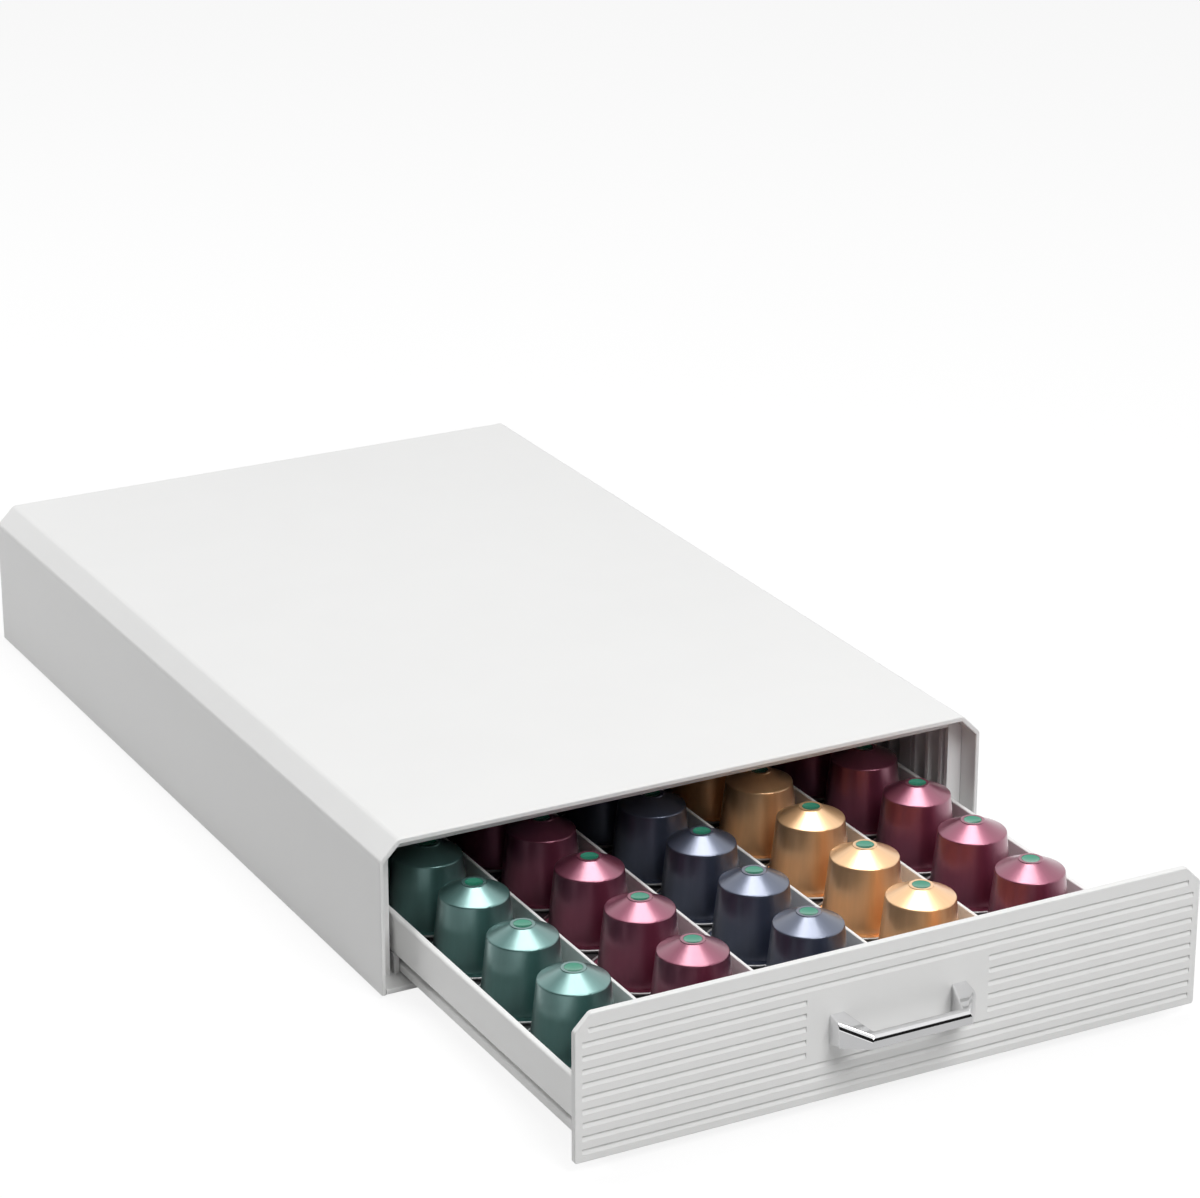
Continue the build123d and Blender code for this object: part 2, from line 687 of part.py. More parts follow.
# Capsules: a lid with a rolled rim below, and a tapered cup with a shallow cone and a nipple on top
bead_x = rim_diameter / 2 - rim_bead / 2
flange_x = rim_diameter / 2 - rim_bead - cup_flange_gap
foot_edge_x = rim_diameter / 2 - cup_rim_step
shoulder_x = foot_edge_x - cup_lean
nipple_x = cup_nipple_diameter / 2
dot_x = cup_dot_diameter / 2
cup_base_z = lane_floor + foil_thickness
cone_top = cup_shoulder_height + cup_cone_height
for lane, lane_x in enumerate(lane_xs, start=1):
    with BuildPart() as capsule_lids:
        for row_y in row_ys:
            with BuildSketch(Plane(origin=(lane_x, row_y, lane_floor), x_dir=(1, 0, 0), z_dir=(0, -1, 0))):
                Rectangle(bead_x, foil_thickness, align=(Align.MIN, Align.MIN))
                with Locations((bead_x, rim_bead / 2)):
                    Circle(rim_bead / 2)
            revolve(axis=Axis((lane_x, row_y, lane_floor), (0, 0, 1)))
    save(capsule_lids, f"lane_{lane}_capsule_lids")

    with BuildPart() as capsule_cups:
        for row_y in row_ys:
            cup_plane = Plane(origin=(lane_x, row_y, cup_base_z), x_dir=(1, 0, 0), z_dir=(0, -1, 0))
            with BuildSketch(cup_plane) as cup_profile:
                with BuildLine():
                    Polyline(
                        (0, 0),
                        (flange_x, 0),
                        (flange_x, cup_flange_thickness),
                        (foot_edge_x, cup_flange_thickness),
                        (shoulder_x, cup_shoulder_height),
                        (nipple_x, cone_top),
                        (nipple_x - cup_nipple_taper, cup_height),
                        (dot_x, cup_height),
                        (dot_x, cup_height - cup_dot_recess),
                        (0, cup_height - cup_dot_recess),
                        close=True,
                    )
                make_face()
                corners = cup_profile.vertices()
                shoulder = corners.sort_by_distance((shoulder_x, cup_shoulder_height))[0]
                fillet(shoulder, cup_shoulder_round)
                nipple_edge = corners.sort_by_distance((nipple_x, cup_height))[0]
                fillet(nipple_edge, cup_nipple_round)
                with BuildLine():
                    Polyline(
                        (0, 0),
                        (foot_edge_x - cup_wall, 0),
                        (shoulder_x - cup_wall, cup_shoulder_height - cup_wall),
                        (nipple_x - cup_wall, cone_top - cup_wall),
                        (0, cone_top - cup_wall),
                        close=True,
                    )
                make_face(mode=Mode.SUBTRACT)
            revolve(axis=Axis((lane_x, row_y, cup_base_z), (0, 0, 1)))
    save(capsule_cups, f"lane_{lane}_capsule_cups")
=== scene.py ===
"""Looks for a coffee capsule dispenser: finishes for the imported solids, the coloured dots and the stage."""

import math

import bpy
from bpy.props import FloatProperty, FloatVectorProperty, IntProperty, PointerProperty
from mathutils import Matrix, Vector


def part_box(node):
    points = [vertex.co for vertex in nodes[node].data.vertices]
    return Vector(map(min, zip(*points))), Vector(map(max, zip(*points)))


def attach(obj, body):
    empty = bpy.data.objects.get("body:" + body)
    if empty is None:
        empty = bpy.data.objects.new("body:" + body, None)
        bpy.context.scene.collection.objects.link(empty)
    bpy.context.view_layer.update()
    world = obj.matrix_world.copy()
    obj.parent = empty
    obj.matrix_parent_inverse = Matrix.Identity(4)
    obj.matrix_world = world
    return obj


bl_info = {
    "name": "Capsule Dispenser Looks",
    "version": (1, 0, 0),
    "blender": (4, 5, 0),
    "location": "3D View > Sidebar > Dispenser",
    "description": "Finishes, coloured dots and studio stage for a coffee capsule dispenser",
    "category": "Object",
}

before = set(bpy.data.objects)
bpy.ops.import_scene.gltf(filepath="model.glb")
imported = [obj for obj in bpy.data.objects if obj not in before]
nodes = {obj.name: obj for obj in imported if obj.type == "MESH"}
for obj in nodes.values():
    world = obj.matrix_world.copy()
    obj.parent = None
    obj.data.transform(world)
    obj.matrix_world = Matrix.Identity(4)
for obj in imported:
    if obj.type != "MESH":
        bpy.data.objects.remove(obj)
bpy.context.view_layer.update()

# Pieces by finish
CABINET = (
    "cabinet_shell", "base_plate", "back_panel", "mouth_lintel", "left_rib_wall", "right_rib_wall",
    "left_rail", "right_rail", "left_drawer_stop", "right_drawer_stop",
)
TRAY = (
    "left_skirt", "right_skirt", "left_drawer_side", "right_drawer_side", "drawer_back",
    "lane_divider_1", "lane_divider_2", "lane_divider_3", "lane_divider_4",
)
RUBBER = (
    "front_left_foot", "front_right_foot", "rear_left_foot", "rear_right_foot", "left_bumper", "right_bumper",
)
SCREWS = ("base_screws", "back_screws", "handle_screws")
LANE_COLOURS = ("teal", "burgundy", "navy", "gold", "burgundy")

# Capsule places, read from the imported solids
LANES = len(LANE_COLOURS)
ROWS = 6
first_lids_low, first_lids_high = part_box("lane_1_capsule_lids")
last_lids_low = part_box(f"lane_{LANES}_capsule_lids")[0]
RIM = first_lids_high.x - first_lids_low.x
LANE_PITCH = (last_lids_low.x - first_lids_low.x) / (LANES - 1)
ROW_PITCH = (first_lids_high.y - first_lids_low.y - RIM) / (ROWS - 1)
FIRST_ROW = first_lids_low.y + RIM / 2
CAPSULE_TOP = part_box("lane_1_capsule_cups")[1].z
CAPSULE_MIDDLE_Y = (first_lids_low.y + first_lids_high.y) / 2

# Depth of each finish's grain, scratches or lines, in metres
PLASTIC_GRAIN_DEPTH = 0.00001
FLOOR_GRAIN_DEPTH = 0.00002
RUBBER_GRAIN_DEPTH = 0.00003
LACQUER_GRAIN_DEPTH = 0.000004
CHROME_SCRATCH_DEPTH = 0.0000005
STEEL_SCRATCH_DEPTH = 0.000004
CUP_LINE_DEPTH = 0.000006
LID_LINE_DEPTH = 0.00001

NOISE_MEAN = 0.5


# Settings of the sidebar


def colour(name, description, default):
    """Colour setting."""
    return FloatVectorProperty(
        name=name, description=description, default=default, subtype="COLOR", min=0, max=1
    )


def length(name, description, default):
    """Length setting, in metres."""
    return FloatProperty(
        name=name, description=description, default=default, unit="LENGTH", min=0, precision=5
    )


def count(name, description, default):
    """Setting that counts corners, rings or strips."""
    return IntProperty(name=name, description=description, default=default, min=1)


def power(name, description, default):
    """Lamp power setting, in watts."""
    return FloatProperty(name=name, description=description, default=default, unit="POWER", min=0)


def level(name, description, default):
    """Brightness setting."""
    return FloatProperty(name=name, description=description, default=default, min=0)


def angle(name, description, default):
    """Angle setting, in radians."""
    return FloatProperty(name=name, description=description, default=default, unit="ROTATION")


def place(name, description, default):
    """Place setting, in metres."""
    return FloatVectorProperty(name=name, description=description, default=default, subtype="TRANSLATION")


class DispenserColours(bpy.types.PropertyGroup):
    """Base colours of the finishes"""

    shell: colour("Cabinet", "White of the cabinet's mouldings", (0.775, 0.775, 0.77))
    panel: colour("Front panel", "White of the drawer's front", (0.78, 0.78, 0.772))
    # Painted light: the drawer's white is set whiter than the cabinet's so that its walls come out more
    # brightly lit.
    tray: colour("Drawer", "White of the drawer's tray", (0.88, 0.88, 0.87))
    # Painted shade: the lane floor is near black so that the gaps between the capsules' feet come out in deep
    # shade.
    floor: colour("Lane floor", "Dark plastic of the floor under the capsules", (0.03, 0.03, 0.032))
    rubber: colour("Rubber", "Feet and bumpers", (0.028, 0.028, 0.030))
    steel: colour("Screws", "Plated steel of the screws", (0.52, 0.52, 0.53))
    chrome: colour("Handle", "Chrome of the pull handle", (0.80, 0.80, 0.81))
    # The lids' bare aluminium is set dark grey so that the rims round the capsules' feet come out grey: real
    # metal with painted shade.
    lid: colour("Capsule lid", "Bare aluminium of the capsules' lids", (0.36, 0.36, 0.36))
    teal: colour("Teal cup", "First lane of capsules", (0.115, 0.26, 0.245))
    burgundy: colour("Burgundy cup", "Second and fifth lane of capsules", (0.27, 0.053, 0.108))
    navy: colour("Navy cup", "Third lane of capsules", (0.088, 0.108, 0.168))
    gold: colour("Gold cup", "Fourth lane of capsules", (0.92, 0.57, 0.29))
    dot: colour("Dot", "Lacquered dots on the capsules", (0.03, 0.27, 0.17))


class DispenserSizes(bpy.types.PropertyGroup):
    """Sizes of the visible details"""

    grain: length("Moulded grain", "Width of one bump in the moulded plastic", 0.0005)
    scratch: length("Scratch", "Spacing of the finest scratches in metal", 0.0004)
    dot_grain: length("Dot grain", "Width of one fleck in the dots' lacquer", 0.0003)
    dot_diameter: length("Dot diameter", "Across one lacquered dot", 0.0064)
    dot_seat: length("Dot seat", "How deep the dot lies below the capsule's top", 0.0005)
    dot_thickness: length("Dot thickness", "Height of the dot at its edge", 0.00048)
    dot_dish: length("Dot dish", "How much lower the middle of the dot is than its edge", 0.0004)
    dot_sides: count("Dot sides", "Corners round one dot", 32)
    dot_rings: count("Dot rings", "Rings of faces from a dot's middle to its edge", 5)


class DispenserStage(bpy.types.PropertyGroup):
    """Floor, light and camera"""

    floor_side: length("Floor", "Half the side of the pale floor", 6)
    floor_bounce: level("Floor bounce", "Grey of the floor to the light that it throws back", 0.55)
    floor_shade: level("Floor shade", "Grey of the seen floor that takes the shadow", 0.15)
    floor_glow: level("Floor glow", "Light that the seen floor gives off", 0.87)
    key_power: power("Key power", "Power of the long softbox above and behind the drawer", 7.8)
    key_width: length("Key width", "Length of the key softbox", 0.8)
    key_depth: length("Key depth", "Breadth of the key softbox", 0.25)
    key_place: place("Key place", "Where the key softbox hangs", (0.2, 0.14, 1.5))
    key_turn: angle("Key turn", "Turn of the key softbox", -0.27)
    front_power: power("Front power", "Power of the softbox above the front", 16.5)
    front_width: length("Front width", "Width of the front softbox", 0.8)
    front_place: place("Front place", "Where the front softbox hangs", (0.15, -1.15, 1.25))
    side_power: power("Side power", "Power of the softbox behind the left side", 6)
    side_width: length("Side width", "Width of the side softbox", 0.6)
    side_place: place("Side place", "Where the side softbox stands", (-0.8, 0.9, 0.8))
    zenith: level("Zenith", "Light from straight above", 0.17)
    horizon: level("Horizon", "Light from the sides", 0.28)
    card_radius: length("Card radius", "Distance of the dark card from the handle", 0.9)
    card_left: length("Card left", "Height of the dark card's left end", 1.6)
    card_right: length("Card right", "Height of the dark card's right end", 0.75)
    card_start: angle("Card start", "Where the dark card's left end is, from the X axis", math.radians(110))
    card_sweep: angle("Card sweep", "How far the dark card goes round the front", math.radians(220))
    card_bends: count("Card bends", "Flat strips in the dark card", 32)
    card_glow: level("Card glow", "Brightness of the dark card", 0.015)
    grey_gap: length("Grey gap", "From the drawer's front to the grey cards", 0.003)
    grey_depth: length("Grey depth", "Reach of the grey cards on the floor", 0.6)
    grey_height: length("Grey height", "How far the grey cards stand off the floor", 0.0005)
    grey_glow: level("Grey glow", "Brightness of the front grey card", 0.62)
    left_gap: length("Left gap", "From the drawer's left side to the left grey card", 0.04)
    left_glow: level("Left glow", "Brightness of the left grey card", 0.4)
    camera_place: place("Camera place", "Where the camera stands", (-0.63894, -1.24595, 0.63502))
    camera_tilt: angle("Camera tilt", "Tilt of the camera up from straight down", math.radians(68.69))
    camera_turn: angle("Camera turn", "Turn of the camera from the Y axis", math.radians(-27.97))
    camera_lens: FloatProperty(name="Camera lens", description="Focal length, in mm", default=119.75, min=1)
    camera_sensor: FloatProperty(name="Camera sensor", description="Sensor width, in mm", default=36, min=1)
    camera_near: length("Camera near", "Nearest distance that the camera sees", 0.05)


# Node helpers


def add(tree, kind, feeds=None, **settings):
    """New node with its settings; feeds gives an input a value or another node's output."""
    made = tree.nodes.new(kind)
    for name, value in settings.items():
        setattr(made, name, value)
    for name, value in (feeds or {}).items():
        if isinstance(value, bpy.types.NodeSocket):
            tree.links.new(value, made.inputs[name])
        else:
            made.inputs[name].default_value = value
    return made


def calc(tree, operation, *values):
    """Output of a Math node."""
    return add(tree, "ShaderNodeMath", dict(enumerate(values)), operation=operation).outputs[0]


def grey(value):
    """Grey that a colour socket takes."""
    return (value, value, value, 1)


def toned(tree, base, tone):
    """A colour times a tone of about 1."""
    mix = add(tree, "ShaderNodeMix", data_type="RGBA", blend_type="MULTIPLY")
    sockets = {socket.identifier: socket for socket in (*mix.inputs, *mix.outputs)}
    sockets["Factor_Float"].default_value = 1
    tree.links.new(base, sockets["A_Color"])
    tree.links.new(tone, sockets["B_Color"])
    return sockets["Result_Color"]


def noise(tree, vector, scale, detail, roughness=0.5):
    """Value of a Noise texture, whose average is NOISE_MEAN."""
    feeds = {"Vector": vector, "Scale": scale, "Detail": detail, "Roughness": roughness}
    return add(tree, "ShaderNodeTexNoise", feeds).outputs[0]


def about(tree, middle, spread, value):
    """A noise value turned into middle, plus or minus half the spread."""
    offset = calc(tree, "SUBTRACT", value, NOISE_MEAN)
    return calc(tree, "ADD", middle, calc(tree, "MULTIPLY", offset, spread))


def object_place(tree):
    """Object coordinates of the surface."""
    return add(tree, "ShaderNodeTexCoord").outputs["Object"]


def new_socket(tree, label, in_out, kind):
    """New input or output of a node group."""
    return tree.interface.new_socket(label, in_out=in_out, socket_type=f"NodeSocket{kind}")


def new_group(name, **inputs):
    """Empty finish group with its inputs' defaults, as tree, its inputs' outputs and its outputs' inputs."""
    tree = bpy.data.node_groups.new(name, "ShaderNodeTree")
    new_socket(tree, "Colour", "INPUT", "Color").default_value = grey(0.5)
    for label, default in inputs.items():
        new_socket(tree, label.replace("_", " ").title(), "INPUT", "Float").default_value = default
    new_socket(tree, "Colour", "OUTPUT", "Color")
    new_socket(tree, "Roughness", "OUTPUT", "Float")
    new_socket(tree, "Height", "OUTPUT", "Float")
    start = tree.nodes.new("NodeGroupInput")
    end = tree.nodes.new("NodeGroupOutput")
    return tree, start.outputs, end.inputs


# Finishes


def moulded_skin():
    """Group: fine eroded grain, broad mottling and uneven gloss of moulded plastic and rubber."""
    cloud_share, broad_share = 0.02, 0.004
    tree, given, result = new_group(
        "moulded skin", grain_size=0.0005, mottling=0.05, roughness=0.4, gloss_spread=0.1
    )
    point = object_place(tree)
    fine_scale = calc(tree, "DIVIDE", 1, given["Grain Size"])
    fine = noise(tree, point, fine_scale, detail=1.5)
    cloud = noise(tree, point, calc(tree, "MULTIPLY", fine_scale, cloud_share), detail=3)
    broad = noise(tree, point, calc(tree, "MULTIPLY", fine_scale, broad_share), detail=1)
    tone = about(tree, about(tree, 1, given["Mottling"], cloud), given["Mottling"], broad)
    gloss = about(tree, given["Roughness"], given["Gloss Spread"], cloud)
    tree.links.new(toned(tree, given["Colour"], tone), result["Colour"])
    tree.links.new(about(tree, gloss, given["Gloss Spread"], fine), result["Roughness"])
    tree.links.new(fine, result["Height"])
    return tree


def scratched_metal():
    """Group: short fine scratches and faint smears on bare metal."""
    scratch_stretch = (0.05, 1, 1)
    smear_share, smear_spread = 0.04, 0.08
    tree, given, result = new_group("scratched metal", scratch_size=0.0004, roughness=0.1, gloss_spread=0.06)
    point = object_place(tree)
    fine_scale = calc(tree, "DIVIDE", 1, given["Scratch Size"])
    drawn = add(tree, "ShaderNodeMapping", {"Vector": point, "Scale": scratch_stretch}).outputs[0]
    lines = noise(tree, drawn, fine_scale, detail=2)
    smear = noise(tree, point, calc(tree, "MULTIPLY", fine_scale, smear_share), detail=3)
    gloss = about(tree, given["Roughness"], given["Gloss Spread"], smear)
    tree.links.new(toned(tree, given["Colour"], about(tree, 1, smear_spread, smear)), result["Colour"])
    tree.links.new(about(tree, gloss, given["Gloss Spread"], lines), result["Roughness"])
    tree.links.new(lines, result["Height"])
    return tree


def drawn_cup():
    """Group: satin lines that run down each drawn cup from its nipple, and a small change from cup to cup."""
    cup_spread, line_spread = 0.10, 0.16
    line_drift = 6  # how far the lines' noise moves on in a metre of height
    cup_shift = 40  # how far it can move on from one cup to another
    speck_scale, speck_share = 2500, 0.5
    tree, given, result = new_group(
        "drawn cup",
        lane_pitch=LANE_PITCH,
        row_pitch=ROW_PITCH,
        first_row=FIRST_ROW,
        line_count=60,
        roughness=0.3,
        gloss_spread=0.1,
    )
    point = object_place(tree)
    axes = add(tree, "ShaderNodeSeparateXYZ", {"Vector": point}).outputs
    row_y = calc(tree, "SUBTRACT", axes["Y"], given["First Row"])
    lane = calc(tree, "ROUND", calc(tree, "DIVIDE", axes["X"], given["Lane Pitch"]))
    row = calc(tree, "ROUND", calc(tree, "DIVIDE", row_y, given["Row Pitch"]))
    across = calc(tree, "SUBTRACT", axes["X"], calc(tree, "MULTIPLY", lane, given["Lane Pitch"]))
    along = calc(tree, "SUBTRACT", row_y, calc(tree, "MULTIPLY", row, given["Row Pitch"]))
    flat = add(tree, "ShaderNodeCombineXYZ", {"X": across, "Y": along}).outputs[0]
    spoke = add(tree, "ShaderNodeVectorMath", {0: flat}, operation="NORMALIZE").outputs[0]
    spoke_axes = add(tree, "ShaderNodeSeparateXYZ", {"Vector": spoke}).outputs
    cell = add(tree, "ShaderNodeCombineXYZ", {"X": lane, "Y": row}).outputs[0]
    chance = add(tree, "ShaderNodeTexWhiteNoise", {"Vector": cell}, noise_dimensions="2D").outputs["Value"]
    fall = calc(tree, "MULTIPLY", axes["Z"], line_drift)
    drift = calc(tree, "ADD", fall, calc(tree, "MULTIPLY", chance, cup_shift))
    turned = add(
        tree, "ShaderNodeCombineXYZ", {"X": spoke_axes["X"], "Y": spoke_axes["Y"], "Z": drift}
    ).outputs[0]
    line_scale = calc(tree, "DIVIDE", given["Line Count"], math.tau)
    lines = noise(tree, turned, line_scale, detail=3, roughness=0.65)
    speck = noise(tree, point, speck_scale, detail=1)
    tone = about(tree, about(tree, 1, cup_spread, chance), line_spread, lines)
    gloss = about(tree, given["Roughness"], given["Gloss Spread"], lines)
    tree.links.new(toned(tree, given["Colour"], tone), result["Colour"])
    tree.links.new(about(tree, gloss, given["Gloss Spread"], speck), result["Roughness"])
    tree.links.new(calc(tree, "ADD", lines, calc(tree, "MULTIPLY", speck, speck_share)), result["Height"])
    return tree


def shared_group(maker):
    """The node group of that maker, built on first use."""
    label = maker.__name__.replace("_", " ")
    return bpy.data.node_groups.get(label) or maker()


def finish(name, maker, values, depth, constants=None):
    """Material whose group feeds colour, roughness and bump; constants go on the shader's own sockets."""
    material = bpy.data.materials.new(name)
    material.use_nodes = True
    tree = material.node_tree
    tree.nodes.clear()
    group = add(tree, "ShaderNodeGroup", node_tree=shared_group(maker))
    for label, value in values.items():
        group.inputs[label].default_value = (*value, 1) if label == "Colour" else value
    bump = add(tree, "ShaderNodeBump", {"Height": group.outputs["Height"], "Distance": depth})
    feeds = {
        "Base Color": group.outputs["Colour"],
        "Roughness": group.outputs["Roughness"],
        "Normal": bump.outputs["Normal"],
    }
    shader = add(tree, "ShaderNodeBsdfPrincipled", feeds | (constants or {}))
    add(tree, "ShaderNodeOutputMaterial", {"Surface": shader.outputs["BSDF"]})
    return material


def plastic(name, base, grain, depth, mottling, roughness, spread=0.08):
    """Moulded plastic or rubber."""
    values = {
        "Colour": base,
        "Grain Size": grain,
        "Mottling": mottling,
        "Roughness": roughness,
        "Gloss Spread": spread,
    }
    return finish(name, moulded_skin, values, depth)


def metal(name, base, scratch, depth, roughness, spread):
    """Bare metal with fine scratches."""
    values = {"Colour": base, "Scratch Size": scratch, "Roughness": roughness, "Gloss Spread": spread}
    return finish(name, scratched_metal, values, depth, {"Metallic": 1})


def dress(material, names):
    """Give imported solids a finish."""
    for name in names:
        for slot in nodes[name].material_slots:
            slot.material = material


class DISPENSER_OT_cabinet(bpy.types.Operator):
    """Finish the cabinet's white mouldings"""

    bl_idname = "dispenser.cabinet"
    bl_label = "Cabinet"

    def execute(self, context):
        colours = context.scene.dispenser_colours
        grain = context.scene.dispenser_sizes.grain
        shell = plastic(
            "cabinet_plastic", colours.shell, grain, PLASTIC_GRAIN_DEPTH, mottling=0.03, roughness=0.36
        )
        dress(shell, CABINET)
        return {"FINISHED"}


class DISPENSER_OT_tray(bpy.types.Operator):
    """Finish the drawer's tray and its dividers"""

    bl_idname = "dispenser.tray"
    bl_label = "Drawer tray"

    def execute(self, context):
        colours = context.scene.dispenser_colours
        grain = context.scene.dispenser_sizes.grain
        # The tray's whiter colour is painted light on the drawer's walls.
        tray = plastic(
            "drawer_plastic", colours.tray, grain, PLASTIC_GRAIN_DEPTH, mottling=0.04, roughness=0.42
        )
        # The floor's near-black colour is painted shade between the capsules.
        floor = plastic(
            "floor_plastic", colours.floor, grain, FLOOR_GRAIN_DEPTH, mottling=0.2, roughness=0.42
        )
        dress(tray, TRAY)
        dress(floor, ("drawer_floor",))
        return {"FINISHED"}


class DISPENSER_OT_front(bpy.types.Operator):
    """Finish the grooved front panel"""

    bl_idname = "dispenser.front"
    bl_label = "Front panel"

    def execute(self, context):
        colours = context.scene.dispenser_colours
        grain = context.scene.dispenser_sizes.grain
        panel = plastic(
            "panel_plastic", colours.panel, grain, PLASTIC_GRAIN_DEPTH, mottling=0.03, roughness=0.4
        )
        dress(panel, ("front_panel",))
        return {"FINISHED"}


class DISPENSER_OT_hardware(bpy.types.Operator):
    """Finish the handle, the screws, the feet and the bumpers"""

    bl_idname = "dispenser.hardware"
    bl_label = "Handle, screws and feet"

    def execute(self, context):
        colours = context.scene.dispenser_colours
        scratch = context.scene.dispenser_sizes.scratch
        grain = context.scene.dispenser_sizes.grain
        chrome = metal(
            "handle_chrome", colours.chrome, scratch, CHROME_SCRATCH_DEPTH, roughness=0.07, spread=0.05
        )
        steel = metal(
            "screw_steel", colours.steel, scratch, STEEL_SCRATCH_DEPTH, roughness=0.32, spread=0.12
        )
        rubber = plastic(
            "rubber", colours.rubber, grain, RUBBER_GRAIN_DEPTH, mottling=0.3, roughness=0.72, spread=0.15
        )
        dress(chrome, ("pull_handle",))
        dress(steel, SCREWS)
        dress(rubber, RUBBER)
        return {"FINISHED"}


class DISPENSER_OT_capsules(bpy.types.Operator):
    """Finish the capsules' coloured cups and bare lids"""

    bl_idname = "dispenser.capsules"
    bl_label = "Capsules"

    def execute(self, context):
        colours = context.scene.dispenser_colours
        anodised = {"Metallic": 0.8, "Coat Weight": 1, "Coat Roughness": 0.27, "Coat IOR": 1.75}
        for name in sorted(set(LANE_COLOURS)):
            values = {"Colour": getattr(colours, name), "Roughness": 0.36, "Gloss Spread": 0.08}
            cup = finish(f"{name}_cup", drawn_cup, values, CUP_LINE_DEPTH, anodised)
            lanes = [lane for lane in range(LANES) if LANE_COLOURS[lane] == name]
            dress(cup, [f"lane_{lane + 1}_capsule_cups" for lane in lanes])
        # Dark grey lid colour: bare aluminium darkened as painted shade on the rims.
        values = {"Colour": colours.lid, "Line Count": 90, "Roughness": 0.42, "Gloss Spread": 0.1}
        lid = finish("capsule_lid", drawn_cup, values, LID_LINE_DEPTH, {"Metallic": 1})
        dress(lid, [f"lane_{lane + 1}_capsule_lids" for lane in range(LANES)])
        return {"FINISHED"}


# Dots


def dots_tree():
    """Geometry nodes: a grid of shallow dished discs, one for each capsule."""
    tree = bpy.data.node_groups.new("dot rows", "GeometryNodeTree")
    new_socket(tree, "Geometry", "OUTPUT", "Geometry")
    for kind, labels in {
        "Int": ("Lanes", "Rows", "Sides", "Rings"),
        "Float": ("Lane Pitch", "Row Pitch", "Radius", "Thickness", "Dish"),
        "Vector": ("Middle",),
        "Material": ("Material",),
    }.items():
        for label in labels:
            new_socket(tree, label, "INPUT", kind)
    given = tree.nodes.new("NodeGroupInput").outputs
    end = tree.nodes.new("NodeGroupOutput")

    lanes_width = calc(tree, "MULTIPLY", calc(tree, "SUBTRACT", given["Lanes"], 1), given["Lane Pitch"])
    rows_length = calc(tree, "MULTIPLY", calc(tree, "SUBTRACT", given["Rows"], 1), given["Row Pitch"])
    grid = add(
        tree,
        "GeometryNodeMeshGrid",
        {
            "Size X": lanes_width,
            "Size Y": rows_length,
            "Vertices X": given["Lanes"],
            "Vertices Y": given["Rows"],
        },
    )
    placed = add(
        tree, "GeometryNodeTransform", {"Geometry": grid.outputs["Mesh"], "Translation": given["Middle"]}
    )
    disc = add(
        tree,
        "GeometryNodeMeshCylinder",
        {
            "Vertices": given["Sides"],
            "Fill Segments": given["Rings"],
            "Radius": given["Radius"],
            "Depth": given["Thickness"],
        },
        fill_type="TRIANGLE_FAN",
    )
    position = add(tree, "GeometryNodeInputPosition").outputs[0]
    axes = add(tree, "ShaderNodeSeparateXYZ", {"Vector": position}).outputs
    flat = add(tree, "ShaderNodeCombineXYZ", {"X": axes["X"], "Y": axes["Y"]}).outputs[0]
    reach = add(tree, "ShaderNodeVectorMath", {0: flat}, operation="LENGTH").outputs["Value"]
    share = calc(tree, "DIVIDE", reach, given["Radius"])
    hollow = calc(tree, "SUBTRACT", calc(tree, "MULTIPLY", share, share), 1)
    drop = add(tree, "ShaderNodeCombineXYZ", {"Z": calc(tree, "MULTIPLY", hollow, given["Dish"])}).outputs[0]
    upper = calc(tree, "GREATER_THAN", axes["Z"], 0)
    dished = add(
        tree,
        "GeometryNodeSetPosition",
        {"Geometry": disc.outputs["Mesh"], "Selection": upper, "Offset": drop},
    )
    rows = add(
        tree,
        "GeometryNodeInstanceOnPoints",
        {"Points": placed.outputs["Geometry"], "Instance": dished.outputs["Geometry"]},
    )
    real = add(tree, "GeometryNodeRealizeInstances", {"Geometry": rows.outputs["Instances"]})
    painted = add(
        tree, "GeometryNodeSetMaterial", {"Geometry": real.outputs["Geometry"], "Material": given["Material"]}
    )
    tree.links.new(painted.outputs["Geometry"], end.inputs["Geometry"])
    return tree


def grow(name, tree, values):
    """Plain mesh object made by a geometry node tree with these input values."""
    piece = bpy.data.objects.new(name, bpy.data.meshes.new(name))
    bpy.context.scene.collection.objects.link(piece)
    modifier = piece.modifiers.new("grow", "NODES")
    modifier.node_group = tree
    for item in tree.interface.items_tree:
        if item.in_out == "INPUT":
            modifier[item.identifier] = values[item.name]
    evaluated = piece.evaluated_get(bpy.context.evaluated_depsgraph_get())
    mesh = bpy.data.meshes.new_from_object(evaluated)
    piece.modifiers.remove(modifier)
    piece.data = mesh
    mesh.name = name
    return piece


